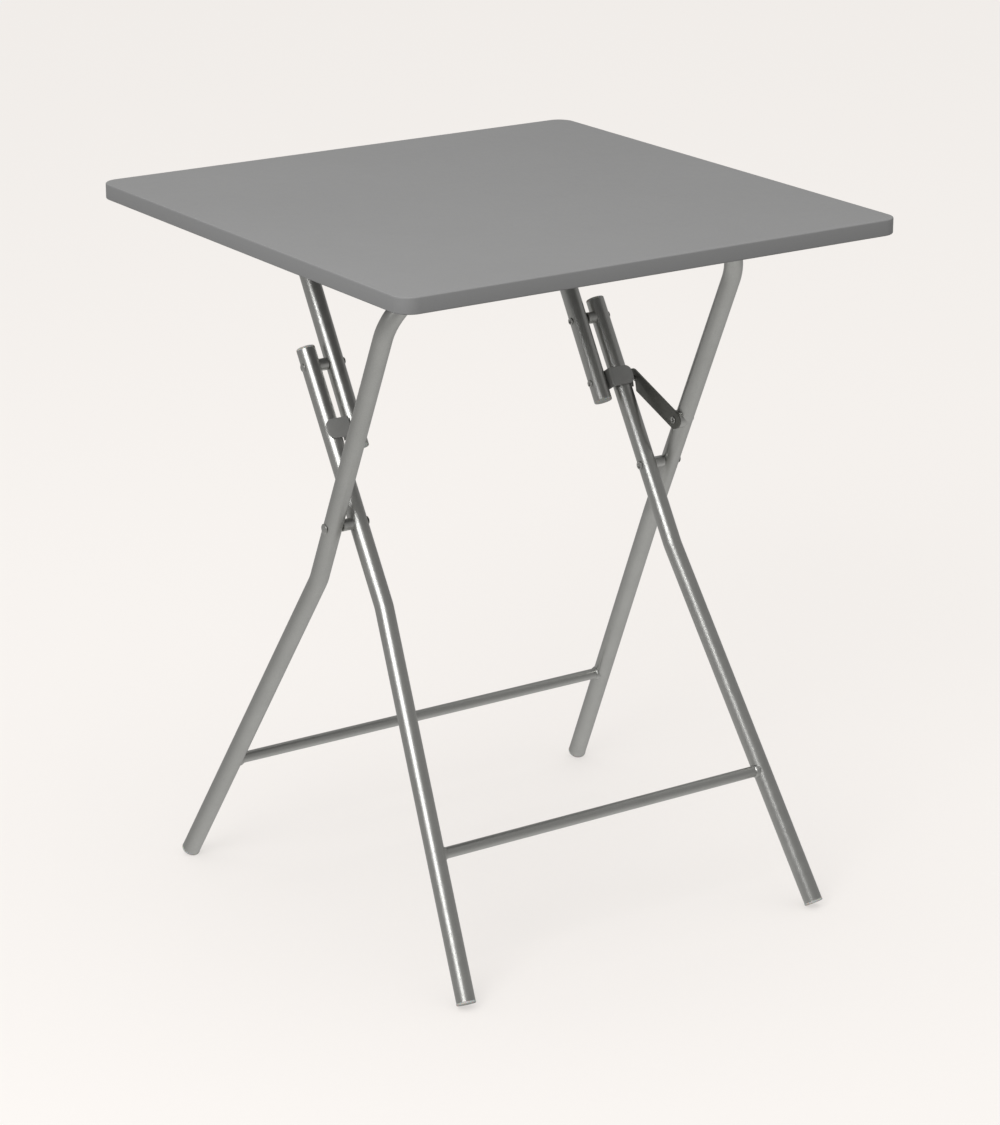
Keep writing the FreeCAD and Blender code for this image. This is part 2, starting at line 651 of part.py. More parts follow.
def add_front_cradle(label, side, places):
    """A grooved plate over the front bar, with a wall behind it and open to the front."""
    middle = Vector(side * size("cradle_place"), front_hinge.y, front_hinge.z)
    start_x = middle.x - size("clip_width") / 2
    inner = "(sizes.tube_diameter / 2 + sizes.clip_clearance)"
    width = "sizes.clip_width"
    span = "2 * (%s + sizes.cradle_wall + sizes.clip_foot)" % inner
    half_span = value_of(span) / 2
    plate_z = underside - size("cradle_thickness")
    wall_z = underside - size("cradle_wall_depth")
    solid = [
        block(label + "_plate", width, span, "sizes.cradle_thickness",
              Placement(Vector(start_x, middle.y - half_span, plate_z), Rotation())),
        block(label + "_wall", width, "sizes.cradle_wall", "sizes.cradle_wall_depth",
              Placement(Vector(start_x, middle.y + value_of(inner), wall_z), Rotation())),
    ]
    groove = cylinder(label + "_groove", inner, width,
                      frame_at(Vector(start_x, middle.y, middle.z), X_AXIS, Z_AXIS))
    saddle = cut(label + "_saddle", fused(label + "_solid", solid), groove)
    own = [place for place in places if abs(place.x - middle.x) < size("clip_width")]
    drop = size("cradle_thickness")
    keep(add_screw_holes(label, saddle, own, "sizes.cradle_thickness", drop), label)


def add_top_group():
    """The board, two rear hinge clips, two front cradles and their screws."""
    strap_reach = tube_radius + size("clip_clearance") + size("clip_thickness") + size("clip_foot") / 2
    cradle_reach = tube_radius + size("clip_clearance") + size("cradle_wall") + size("clip_foot") / 2
    rear_places = screw_places(rear_hinge, size("hinge_clip_place"), (-strap_reach, strap_reach))
    front_places = screw_places(front_hinge, size("cradle_place"), (-cradle_reach, cradle_reach))
    add_top(rear_places + front_places)
    for name, side in SIDES:
        add_hinge_clip("hinge_clip_" + name, side, rear_places)
        add_front_cradle("front_cradle_" + name, side, front_places)
    add_screws("hinge_screws", rear_places, "sizes.clip_thickness")
    add_screws("cradle_screws", front_places, "sizes.cradle_thickness")


# ---------------------------------------------------------------- build, test and write

def check_and_export():
    """Stop on any failed object or bad shape, then write one file per node."""
    doc.recompute()
    failed = [item.Name for item in doc.Objects if {"Invalid", "Error"} & set(item.State)]
    if failed:
        raise RuntimeError("these objects failed: " + ", ".join(failed))
    for piece in nodes:
        if piece.Shape.isNull() or not piece.Shape.isValid() or piece.Shape.Volume <= 0:
            raise RuntimeError("bad shape: " + piece.Label)
    os.makedirs("parts", exist_ok=True)
    for piece in nodes:
        piece.Shape.exportStep("parts/%s.step" % piece.Label)
        print("%-22s %2d solids %12.1f mm3" % (piece.Label, len(piece.Shape.Solids), piece.Shape.Volume))


add_outer_frame()
add_middle_frame()
add_short_frame()
add_pivots()
add_catches()
add_lock()
add_top_group()
check_and_export()
for title, point in (("scissor", scissor), ("knee", knee), ("front hinge", front_hinge),
                     ("rear hinge", rear_hinge), ("lock pivot", lock_pivot), ("lock stud", stud_place)):
    print("%-12s y %9.4f z %9.4f" % (title, point.y, point.z))
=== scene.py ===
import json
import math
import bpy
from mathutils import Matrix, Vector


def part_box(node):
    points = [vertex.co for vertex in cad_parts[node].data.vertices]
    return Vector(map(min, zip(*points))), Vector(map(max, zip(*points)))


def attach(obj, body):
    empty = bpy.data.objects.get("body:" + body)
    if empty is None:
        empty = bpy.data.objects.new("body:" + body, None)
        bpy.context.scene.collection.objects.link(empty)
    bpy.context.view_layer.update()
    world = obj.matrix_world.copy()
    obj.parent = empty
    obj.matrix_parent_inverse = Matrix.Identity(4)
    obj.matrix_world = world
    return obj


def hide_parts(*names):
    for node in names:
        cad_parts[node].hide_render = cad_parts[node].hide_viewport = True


bl_info = {
    "name": "Folding Table",
    "version": (1, 0, 0),
    "blender": (4, 5, 0),
    "location": "View3D > Sidebar > Folding Table",
    "description": "Builds the finished pieces of a square folding table around its packed frame",
    "category": "Object",
}

from types import SimpleNamespace

import bpy
from bpy.props import FloatProperty, FloatVectorProperty, PointerProperty
from mathutils import Matrix, Quaternion, Vector

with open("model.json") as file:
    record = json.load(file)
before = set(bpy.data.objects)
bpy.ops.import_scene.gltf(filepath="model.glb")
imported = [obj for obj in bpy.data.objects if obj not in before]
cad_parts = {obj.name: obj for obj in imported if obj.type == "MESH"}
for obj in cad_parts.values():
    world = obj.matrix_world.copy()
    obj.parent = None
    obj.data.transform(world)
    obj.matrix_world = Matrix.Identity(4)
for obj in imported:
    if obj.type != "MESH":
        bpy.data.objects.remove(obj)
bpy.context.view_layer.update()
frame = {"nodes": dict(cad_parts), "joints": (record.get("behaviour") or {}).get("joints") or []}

X_AXIS = Vector((1, 0, 0))
Z_AXIS = Vector((0, 0, 1))


def length(name, description, default):
    """A size in metres that a user may change."""
    return FloatProperty(name=name, description=description, default=default, min=0, precision=5,
                         unit="LENGTH")


def angle(name, description, degrees):
    """An angle that a user may change."""
    return FloatProperty(name=name, description=description, default=math.radians(degrees), unit="ROTATION")


def colour(name, description, default):
    """A colour that a user may change."""
    return FloatVectorProperty(name=name, description=description, default=default, size=3,
                               min=0, max=1, subtype="COLOR")


class TableSizes(bpy.types.PropertyGroup):
    """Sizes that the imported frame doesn't give directly."""
    tube_diameter: length("Tube diameter", "Outer diameter of every leg tube", 0.020)
    tube_wall: length("Tube wall", "Wall of every tube", 0.0012)
    outer_top_bend: length("Outer top bend", "Radius of the outer frame's bends under the top", 0.068)
    short_top_bend: length("Short top bend", "Radius of the short frame's bends under the top", 0.038)
    leg_bend: length("Leg bend", "Centreline radius of the slight bends in the legs", 0.070)
    crossbar_diameter: length("Crossbar diameter", "Outer diameter of the two crossbars", 0.012)
    scissor_gap: length("Scissor gap", "Free gap between a middle leg and an outer leg", 0.011)
    outer_bend_drop: length("Outer bend drop", "Scissor pivot to the bend of an outer leg", 0.071)
    middle_bend_drop: length("Middle bend drop", "Scissor pivot to the bend of a middle leg", 0.092)
    middle_top_reach: length("Middle leg top", "Knee pivot to the upper end of a middle leg", 0.0183)
    short_low_reach: length("Short leg end", "Knee pivot to the lower end of the short frame", 0.092)
    outer_splay: angle("Outer splay", "Sideways spread of the outer lower legs", 7.3)
    middle_splay: angle("Middle splay", "Sideways spread of the middle lower legs", 6.3)
    board_corner: length("Board corner", "Corner radius of the top seen from above", 0.019)
    board_round: length("Board edge", "Rounding of the upper and lower edges of the top", 0.0015)
    foot_radius: length("Foot radius", "Rim radius of a foot", 0.0102)
    foot_thickness: length("Foot thickness", "Thickness of a foot's rim", 0.0024)
    foot_round: length("Foot rounding", "Rounding of a foot's rim", 0.0012)
    cap_thickness: length("Cap thickness", "Thickness of an end cap's rim", 0.0026)
    cap_round: length("Cap rounding", "Rounding of an end cap's rim", 0.0016)
    plug_length: length("Plug length", "How far a foot or cap reaches into its tube", 0.013)
    rivet_head: length("Rivet head", "Head radius of the knee, lock and catch rivets", 0.0045)
    scissor_head: length("Scissor rivet head", "Head radius of the scissor rivets", 0.0055)
    head_height: length("Head height", "Head height of the rivets", 0.0012)
    pin_radius: length("Pin radius", "Shank radius of the rivets and of the lock stud", 0.003)
    side_clearance: length("Side clearance", "Gap between pieces that turn past each other", 0.0003)
    catch_thickness: length("Catch sheet", "Sheet thickness of a catch plate", 0.002)
    catch_bend: length("Catch bend", "Middle radius of the bend in a catch plate", 0.0016)
    catch_corner: length("Catch corner", "Corner radius at the free end of a catch plate", 0.008)
    slot_slant: angle("Slot slant", "Slant of the lock arm's slot from square across", 34.5)
    slot_clearance: length("Slot clearance", "Gap each side between the slot and the stud", 0.0004)
    stud_head_height: length("Stud head", "Head height of the lock stud", 0.0012)
    clip_sheet: length("Clip sheet", "Sheet thickness of a hinge clip", 0.0025)
    clip_foot: length("Clip foot", "Length of a clip's screwed foot", 0.015)
    cradle_wall: length("Cradle wall", "Thickness of a front cradle's rear wall", 0.003)
    cradle_plate: length("Cradle plate", "Thickness of a front cradle's screwed plate", 0.0045)
    screw_head: length("Screw head", "Head radius of the screws", 0.0036)


class TableColours(bpy.types.PropertyGroup):
    """Colours of the finishes."""
    board: colour("Board", "Matt lacquer of the top", (0.268, 0.268, 0.270))
    coating: colour("Coating", "Silver coating of the tubes", (0.56, 0.56, 0.54))
    plate: colour("Plate", "Grey coating of the catch plates and hinge clips", (0.32, 0.32, 0.31))
    # The lock arm's colour is the plate grey darkened: painted shade for the shadow the arm lies in between
    # the tubes.
    dark_plate: colour("Lock arm", "Plate grey darkened as painted shade on the lock arm", (0.17, 0.17, 0.155))
    zinc: colour("Zinc", "Zinc plating of rivets, bushes and screws", (0.55, 0.55, 0.53))
    cap: colour("Caps", "Milky plastic of the feet and end caps", (0.56, 0.56, 0.53))
    clip: colour("Cradles", "Dark grey plastic of the front cradles", (0.050, 0.050, 0.052))
    floor: colour("Floor", "Pale studio floor and backdrop", (0.90, 0.868, 0.842))


class TableStage(bpy.types.PropertyGroup):
    """Camera and light."""
    target: FloatVectorProperty(name="Target", description="Point that the camera looks at",
                                default=(0.008987, -0.003059, 0.350436), size=3, subtype="XYZ", unit="LENGTH")
    azimuth: angle("Azimuth", "Camera direction round the table, 0 in front", -33.929)
    elevation: angle("Elevation", "Camera direction above the horizon", 18.800)
    roll: angle("Roll", "Turn of the camera about its own axis", 0.094)
    distance: length("Distance", "Camera to target", 3.772548)
    lens: FloatProperty(name="Lens", description="Focal length in millimetres", default=112.24, min=1)
    key_power: FloatProperty(name="Key light", description="Power of the front softbox", default=52,
                             min=0, unit="POWER")
    top_power: FloatProperty(name="Top light", description="Power of the overhead softbox", default=9,
                             min=0, unit="POWER")
    fill: FloatProperty(name="Fill", description="Strength of the soft light from all round",
                        default=1.0, min=0)


# ---------------------------------------------------------------- places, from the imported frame

def pivot(joint_name):
    """A joint's place, moved into the middle plane of the table."""
    joint = next(item for item in frame["joints"] if item["name"] == joint_name)
    return Vector((0, joint["pos_m"][1], joint["pos_m"][2]))


def middle_of(node):
    """The middle of a node's box."""
    low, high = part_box(node)
    return (low + high) / 2


def at(x, point):
    """A point moved to this X."""
    return Vector((x, point.y, point.z))


def other_side(vector):
    """A point or direction mirrored in the middle plane."""
    return Vector((-vector.x, vector.y, vector.z))


def lower_leg(bend, crossbar, splay, foot):
    """Direction, foot end and crossbar end of a leg below its bend."""
    drop = bend.z - crossbar.z
    direction = Vector((math.tan(splay), (crossbar.y - bend.y) / drop, -1)).normalized()
    upright = -direction.z
    slope = math.sqrt(1 - upright ** 2)
    height = (foot.thickness - foot.round) * upright + (foot.radius - foot.round) * slope + foot.round
    return SimpleNamespace(
        direction=direction,
        foot=bend + direction * ((bend.z - height) / upright),
        crossbar=bend + direction * (drop / upright),
    )


def layout():
    """Where pivots, legs and fittings lie."""
    sizes = bpy.context.scene.table_sizes
    here = SimpleNamespace(scissor=pivot("scissor_fold"), knee=pivot("knee_fold"),
                           rear_hinge=pivot("top_hinge"), lock_pivot=pivot("lock_swing"))
    here.tube_radius = sizes.tube_diameter / 2
    here.bore_radius = here.tube_radius - sizes.tube_wall
    here.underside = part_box("tabletop_panel")[0].z
    here.front_hinge = Vector((0, middle_of("front_cradle_right").y, here.rear_hinge.z))
    here.short_x = middle_of("short_cap_right").x
    here.middle_x = middle_of("middle_cap_right").x
    here.outer_x = here.middle_x + sizes.tube_diameter + sizes.scissor_gap
    here.outer_up = (here.front_hinge - here.scissor).normalized()
    here.middle_up = (here.knee - here.scissor).normalized()
    here.short_up = (here.rear_hinge - here.knee).normalized()
    foot = SimpleNamespace(radius=sizes.foot_radius, thickness=sizes.foot_thickness, round=sizes.foot_round)
    here.outer_bend = at(here.outer_x, here.scissor - here.outer_up * sizes.outer_bend_drop)
    here.middle_bend = at(here.middle_x, here.scissor - here.middle_up * sizes.middle_bend_drop)
    here.outer_low = lower_leg(here.outer_bend, middle_of("outer_crossbar"), sizes.outer_splay, foot)
    here.middle_low = lower_leg(here.middle_bend, middle_of("middle_crossbar"), sizes.middle_splay, foot)
    here.middle_top = at(here.middle_x, here.knee + here.middle_up * sizes.middle_top_reach)
    here.short_low = at(here.short_x, here.knee - here.short_up * sizes.short_low_reach)
    return here


# ---------------------------------------------------------------- modelling steps that repeat

def select_only(piece):
    """Make this the one selected and active object."""
    bpy.ops.object.select_all(action="DESELECT")
    piece.select_set(True)
    bpy.context.view_layer.objects.active = piece


def start_piece():
    """Settle a new primitive at the origin and open it for editing, all selected."""
    bpy.ops.object.transform_apply(location=True, rotation=True, scale=True)
    bpy.ops.object.mode_set(mode="EDIT")
    bpy.ops.mesh.select_all(action="SELECT")
    return bpy.context.object


def pull(step):
    """Extrude the selection by this step."""
    if step.length > 1e-7:
        bpy.ops.mesh.extrude_region_move(TRANSFORM_OT_translate={"value": step})


def sweep(points, bend_radii, arc_step=0.0025):
    """Carry the selection along straight runs that tangent arcs join."""
    start = points[0]
    for before, corner, after, bend in zip(points, points[1:], points[2:], bend_radii):
        arriving = (corner - before).normalized()
        leaving = (after - corner).normalized()
        turn = arriving.angle(leaving)
        arc_start = corner - arriving * bend * math.tan(turn / 2)
        pull(arc_start - start)
        inward = (leaving - arriving * leaving.dot(arriving)).normalized()
        bpy.ops.mesh.spin(steps=max(6, round(bend * turn / arc_step)), angle=turn, use_auto_merge=False,
                          center=arc_start + inward * bend, axis=leaving.cross(arriving))
        start = corner + leaving * bend * math.tan(turn / 2)
    pull(points[-1] - start)


def close_editing():
    """Merge doubles, turn the faces outwards and leave edit mode."""
    bpy.ops.mesh.select_all(action="SELECT")
    bpy.ops.mesh.remove_doubles(threshold=1e-7)
    bpy.ops.mesh.normals_make_consistent(inside=False)
    bpy.ops.object.mode_set(mode="OBJECT")


def select_parts(piece, kind, wanted):
    """Open a piece with only the vertices, edges or faces selected whose corner places pass the test."""
    select_only(piece)
    bpy.ops.object.mode_set(mode="EDIT")
    bpy.ops.mesh.select_mode(type={"vertices": "VERT", "edges": "EDGE", "polygons": "FACE"}[kind])
    bpy.ops.mesh.select_all(action="DESELECT")
    bpy.ops.object.mode_set(mode="OBJECT")
    mesh = piece.data
    for part in getattr(mesh, kind):
        corners = [part.co] if kind == "vertices" else [mesh.vertices[index].co for index in part.vertices]
        part.select = wanted(*corners)
    bpy.ops.object.mode_set(mode="EDIT")


def apply_modifier(piece, kind, **settings):
    """Add one modifier and apply it."""
    select_only(piece)
    modifier = piece.modifiers.new(kind.lower(), kind)
    for name, value in settings.items():
        setattr(modifier, name, value)
    bpy.ops.object.modifier_apply(modifier=modifier.name)


def soften(piece, width, segments=2):
    """Round the sharp edges of a finished solid."""
    apply_modifier(piece, "BEVEL", width=width, segments=segments, limit_method="ANGLE",
                   angle_limit=math.radians(35), use_clamp_overlap=True)


def carve(piece, tool, operation="DIFFERENCE"):
    """Take a second solid from this one, or join it on, and delete the second."""
    apply_modifier(piece, "BOOLEAN", object=tool, operation=operation, solver="EXACT")
    bpy.data.objects.remove(tool)


def bent_tube(points, bend_radii, radius, wall, sides=48):
    """A round tube: a ring pulled along straight runs and spun round each bend, with a wall inwards."""
    direction = (points[1] - points[0]).normalized()
    bpy.ops.object.select_all(action="DESELECT")
    bpy.ops.mesh.primitive_circle_add(vertices=sides, radius=radius, location=points[0],
                                      rotation=direction.to_track_quat("Z", "Y").to_euler())
    tube = start_piece()
    sweep(points, bend_radii)
    close_editing()
    face = tube.data.polygons[0]
    outward = face.center - points[0]
    outward -= direction * outward.dot(direction)
    if face.normal.dot(outward) < 0:
        bpy.ops.object.mode_set(mode="EDIT")
        bpy.ops.mesh.flip_normals()
        bpy.ops.object.mode_set(mode="OBJECT")
    apply_modifier(tube, "SOLIDIFY", thickness=wall, offset=-1, use_rim=True)
    return tube


def turned(profile, sides=48):
    """A round solid about Z: a filled ring pulled up and drawn in or out through (radius, height) pairs."""
    bpy.ops.object.select_all(action="DESELECT")
    bpy.ops.mesh.primitive_circle_add(vertices=sides, radius=profile[0][0], fill_type="NGON",
                                      location=(0, 0, profile[0][1]))
    piece = start_piece()
    for (radius, height), (next_radius, next_height) in zip(profile, profile[1:]):
        bpy.ops.mesh.extrude_region_move(TRANSFORM_OT_translate={"value": (0, 0, next_height - height)})
        grow = next_radius / radius
        bpy.ops.transform.resize(value=(grow, grow, 1), center_override=(0, 0, next_height))
    close_editing()
    return piece


def quarter(centre_radius, centre_height, radius, start, end, steps=5):
    """Profile points on an arc; the angles are in degrees, 0 outwards and 90 upwards."""
    angles = [math.radians(start + (end - start) * step / steps) for step in range(steps + 1)]
    return [(centre_radius + radius * math.cos(turn), centre_height + radius * math.sin(turn))
            for turn in angles]


def strip(points, bend_radii, across, thickness, corner_radius, rounded_ends):
    """Bent sheet metal: a plane over the first run, its far edge carried on through the bends."""
    first_bend = bend_radii[0] * math.tan((points[1] - points[0]).angle(points[2] - points[1]) / 2)
    run = points[1] - points[0]
    run_end = points[1] - run.normalized() * first_bend
    long_way, wide_way = (run_end - points[0]).normalized(), across.normalized()
    turn = Matrix((wide_way, long_way, wide_way.cross(long_way))).transposed()
    bpy.ops.object.select_all(action="DESELECT")
    bpy.ops.mesh.primitive_plane_add(size=1, location=(points[0] + run_end) / 2, rotation=turn.to_euler())
    piece = bpy.context.object
    piece.scale = (across.length, (run_end - points[0]).length, 1)
    start_piece()
    bpy.ops.object.mode_set(mode="OBJECT")
    select_parts(piece, "edges",
                 lambda *corners: all(abs((corner - run_end).dot(long_way)) < 1e-5 for corner in corners))
    sweep([run_end] + points[1:], bend_radii, arc_step=0.0006)
    close_editing()
    ends = [points[0], points[-1]][2 - rounded_ends:]
    tips = [end + across * half for end in ends for half in (-0.5, 0.5)]
    select_parts(piece, "vertices", lambda corner: any((corner - tip).length < 1e-5 for tip in tips))
    bpy.ops.mesh.bevel(offset=corner_radius, affect="VERTICES", segments=10)
    bpy.ops.object.mode_set(mode="OBJECT")
    apply_modifier(piece, "SOLIDIFY", thickness=thickness, offset=0, use_rim=True)
    return piece


def block(low, high, corner_radius=0.0):
    """A square block between two corners, its edges along Z rounded."""
    bpy.ops.object.select_all(action="DESELECT")
    bpy.ops.mesh.primitive_cube_add(size=1, location=(low + high) / 2, scale=high - low)
    piece = start_piece()
    bpy.ops.object.mode_set(mode="OBJECT")
    if corner_radius:
        select_parts(piece, "edges", lambda start, end: abs(start.z - end.z) > 1e-6)
        bpy.ops.mesh.bevel(offset=corner_radius, affect="EDGES", segments=14, clamp_overlap=False)
        close_editing()
    return piece


def place(piece, origin, z_direction, x_direction):
    """Carry a piece that was made about the world's origin to its own place."""
    upward = z_direction.normalized()
    sideways = upward.cross(x_direction).normalized()
    turn = Matrix((sideways.cross(upward), sideways, upward)).transposed()
    piece.matrix_world = Matrix.Translation(origin) @ turn.to_4x4()
    select_only(piece)
    bpy.ops.object.transform_apply(location=True, rotation=True, scale=True)
    return piece


def copy_of(piece):
    """A copy with its own mesh."""
    select_only(piece)
    bpy.ops.object.duplicate(linked=False)
    return bpy.context.object


def mirror_of(piece):
    """A copy for the left side, its faces turned outwards again."""
    twin = copy_of(piece)
    twin.scale = (-1, 1, 1)
    bpy.ops.object.transform_apply(location=True, rotation=True, scale=True)
    bpy.ops.object.mode_set(mode="EDIT")
    close_editing()
    return twin


def dress(piece, name, body, slot, finish, *nodes):
    """Name a piece, smooth it, give it its finish and hang it on its body in place of its nodes."""
    piece.name = name
    piece.data.name = name
    piece.data.materials.clear()
    piece.data.materials.append(finish)
    select_only(piece)
    bpy.ops.object.shade_smooth_by_angle(angle=math.radians(32))
    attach(piece, body)
    if nodes:
        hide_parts(*nodes)
    return piece


def dress_pair(piece, name, body, slot, finish):
    """Dress a right-hand piece and its mirrored twin; their nodes end in _right and _left."""
    twin = mirror_of(piece)
    dress(piece, name + "_right_made", body, slot, finish, name + "_right")
    dress(twin, name + "_left_made", body, slot, finish, name + "_left")


# ---------------------------------------------------------------- finishes

def new_finish(name, base, roughness, metallic=0.0, **sockets):
    """A material with its constant values on the shader's own sockets."""
    material = bpy.data.materials.new(name)
    material.use_nodes = True
    shader = material.node_tree.nodes["Principled BSDF"]
    shader.inputs["Base Color"].default_value = (*base, 1)
    shader.inputs["Roughness"].default_value = roughness
    shader.inputs["Metallic"].default_value = metallic
    for socket, value in sockets.items():
        shader.inputs[socket.replace("_", " ")].default_value = value
    material.diffuse_color = (*base, 1)
    return material


def noise(material, scale, detail=2.0, stretch=(1, 1, 1)):
    """Noise on the piece's own coordinates."""
    tree = material.node_tree
    place_node = tree.nodes.new("ShaderNodeTexCoord")
    mapping = tree.nodes.new("ShaderNodeMapping")
    mapping.inputs["Scale"].default_value = stretch
    texture = tree.nodes.new("ShaderNodeTexNoise")
    texture.inputs["Scale"].default_value = scale
    texture.inputs["Detail"].default_value = detail
    tree.links.new(place_node.outputs["Object"], mapping.inputs["Vector"])
    tree.links.new(mapping.outputs["Vector"], texture.inputs["Vector"])
    return texture


def spread(material, texture, low, high):
    """A noise stretched over this range of values."""
    tree = material.node_tree
    scaling = tree.nodes.new("ShaderNodeMapRange")
    scaling.inputs["From Min"].default_value = 0.3
    scaling.inputs["From Max"].default_value = 0.7
    scaling.inputs["To Min"].default_value = low
    scaling.inputs["To Max"].default_value = high
    tree.links.new(texture.outputs["Fac"], scaling.inputs["Value"])
    return scaling.outputs["Result"]


def vary_colour(material, base, broad, fine, amount, speckle):
    """Colour that drifts broadly by one amount and speckles finely by another."""
    tree = material.node_tree
    drift = spread(material, noise(material, broad), 1 - amount, 1 + amount)
    grain = spread(material, noise(material, fine, detail=1.0), 1 - speckle, 1 + speckle)
    product = tree.nodes.new("ShaderNodeMath")
    product.operation = "MULTIPLY"
    tint = tree.nodes.new("ShaderNodeVectorMath")
    tint.operation = "SCALE"
    tint.inputs[0].default_value = base
    tree.links.new(drift, product.inputs[0])
    tree.links.new(grain, product.inputs[1])
    tree.links.new(product.outputs["Value"], tint.inputs["Scale"])
    shader = tree.nodes["Principled BSDF"]
    tree.links.new(tint.outputs["Vector"], shader.inputs["Base Color"])


def vary_roughness(material, scale, low, high, stretch=(1, 1, 1)):
    """Roughness that changes from place to place."""
    result = spread(material, noise(material, scale, stretch=stretch), low, high)
    material.node_tree.links.new(result, material.node_tree.nodes["Principled BSDF"].inputs["Roughness"])


def relief(material, *layers):
    """Fine bumps, each layer given as noise scale and height in metres."""
    tree = material.node_tree
    shader = tree.nodes["Principled BSDF"]
    below = None
    for scale, height in layers:
        bump = tree.nodes.new("ShaderNodeBump")
        bump.inputs["Distance"].default_value = height
        tree.links.new(noise(material, scale, detail=3.0).outputs["Fac"], bump.inputs["Height"])
        if below:
            tree.links.new(below.outputs["Normal"], bump.inputs["Normal"])
        below = bump
    tree.links.new(below.outputs["Normal"], shader.inputs["Normal"])


def finish(name):
    """One of the table's finishes, made when it is first asked for."""
    return bpy.data.materials.get(name) or FINISHES[name](bpy.context.scene.table_colours)


def matt_lacquer(colours):
    """Sprayed matt lacquer on the board, with faint orange peel."""
    material = new_finish("matt_lacquer", colours.board, 0.52)
    vary_colour(material, colours.board, 5, 900, 0.012, 0.02)
    vary_roughness(material, 35, 0.47, 0.56)
    relief(material, (260, 0.00003), (1500, 0.00001))
    return material


def silver_coating(colours):
    """Silver powder coating with a fine metal flake."""
    material = new_finish("silver_coating", colours.coating, 0.35, metallic=1.0)
    vary_colour(material, colours.coating, 25, 1400, 0.03, 0.07)
    vary_roughness(material, 160, 0.31, 0.40)
    relief(material, (420, 0.000010), (1900, 0.000005))
    return material


def grey_coating(colours):
    """Grey coating on pressed sheet."""
    material = new_finish("grey_coating", colours.plate, 0.45, metallic=0.2)
    vary_colour(material, colours.plate, 60, 1600, 0.05, 0.07)
    vary_roughness(material, 220, 0.38, 0.52)
    relief(material, (600, 0.00003))
    return material


def dark_coating(colours):
    """The plate's grey coating darkened into painted shade on the flat lock arm."""
    material = new_finish("dark_coating", colours.dark_plate, 0.42, metallic=0.5)
    vary_colour(material, colours.dark_plate, 60, 1500, 0.08, 0.10)
    vary_roughness(material, 200, 0.34, 0.50)
    relief(material, (500, 0.00003))
    return material


def zinc_plate(colours):
    """Zinc-plated steel, a little scuffed."""
    material = new_finish("zinc_plate", colours.zinc, 0.3, metallic=1.0)
    vary_colour(material, colours.zinc, 180, 2200, 0.08, 0.05)
    vary_roughness(material, 700, 0.28, 0.44)
    relief(material, (900, 0.00001))
    return material


def milky_plastic(colours):
    """Moulded milky plastic of the plugs in the tube ends."""
    material = new_finish("milky_plastic", colours.cap, 0.42, Subsurface_Weight=0.25, Subsurface_Scale=0.002)
    vary_colour(material, colours.cap, 90, 1200, 0.04, 0.02)
    vary_roughness(material, 400, 0.36, 0.5)
    relief(material, (700, 0.00002))
    return material


def dark_plastic(colours):
    """Moulded dark plastic with a spark-eroded grain."""
    material = new_finish("dark_plastic", colours.clip, 0.5)
    vary_colour(material, colours.clip, 60, 1400, 0.06, 0.10)
    vary_roughness(material, 500, 0.42, 0.6)
    relief(material, (1300, 0.00003))
    return material


def studio_floor(colours):
    """Pale paper floor, lit from behind as well so that shadows stay faint."""
    material = new_finish("studio_floor", colours.floor, 0.9, Emission_Color=(*colours.floor, 1),
                          Emission_Strength=0.62)
    vary_colour(material, [0.42 * part for part in colours.floor], 0.7, 120, 0.002, 0.003)
    material.node_tree.nodes["Principled BSDF"].inputs["Specular IOR Level"].default_value = 0.0
    return material


FINISHES = {
    "matt_lacquer": matt_lacquer,
    "silver_coating": silver_coating,
    "grey_coating": grey_coating,
    "dark_coating": dark_coating,
    "zinc_plate": zinc_plate,
    "milky_plastic": milky_plastic,
    "dark_plastic": dark_plastic,
    "studio_floor": studio_floor,
}


# ---------------------------------------------------------------- the pieces

class TableStep(bpy.types.Operator):
    """One step of building the table"""
    bl_idname = "folding_table.step"
    bl_label = "Step"
    bl_options = {"REGISTER", "UNDO"}

    def execute(self, context):
        self.build(context.scene.table_sizes, layout())
        return {"FINISHED"}

    def build(self, sizes, here):
        raise RuntimeError("this step builds nothing by itself")


class AddBoard(TableStep):
    """The square board, its corners rounded and its edges softened"""
    bl_idname = "folding_table.add_board"
    bl_label = "Board"

    def build(self, sizes, here):
        low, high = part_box("tabletop_panel")
        board = block(low, high, sizes.board_corner)
        select_parts(board, "edges", lambda start, end: abs(start.z - end.z) < 1e-6)
        bpy.ops.mesh.bevel(offset=sizes.board_round, affect="EDGES", segments=5, clamp_overlap=False)
        close_editing()
        dress(board, "board", "tabletop", "board", finish("matt_lacquer"), "tabletop_panel")


class AddOuterFrame(TableStep):
    """The outer frame: one tube bent into a U with splayed lower legs"""
    bl_idname = "folding_table.add_outer_frame"
    bl_label = "Outer frame"

    def build(self, sizes, here):
        half = [here.outer_low.foot, here.outer_bend, at(here.outer_x, here.front_hinge)]
        path = half + [other_side(point) for point in reversed(half)]
        bends = [sizes.leg_bend, sizes.outer_top_bend, sizes.outer_top_bend, sizes.leg_bend]
        tube = bent_tube(path, bends, here.tube_radius, sizes.tube_wall)
        dress(tube, "outer_frame_bent_tube", "outer_frame", "tube", finish("silver_coating"),
              "outer_frame_tube")


class AddMiddleFrame(TableStep):
    """The two separate bent legs of the middle frame"""
    bl_idname = "folding_table.add_middle_frame"
    bl_label = "Middle frame"

    def build(self, sizes, here):
        path = [here.middle_low.foot, here.middle_bend, here.middle_top]
        leg = bent_tube(path, [sizes.leg_bend], here.tube_radius, sizes.tube_wall)
        dress_pair(leg, "middle_leg", "middle_frame", "tube", finish("silver_coating"))


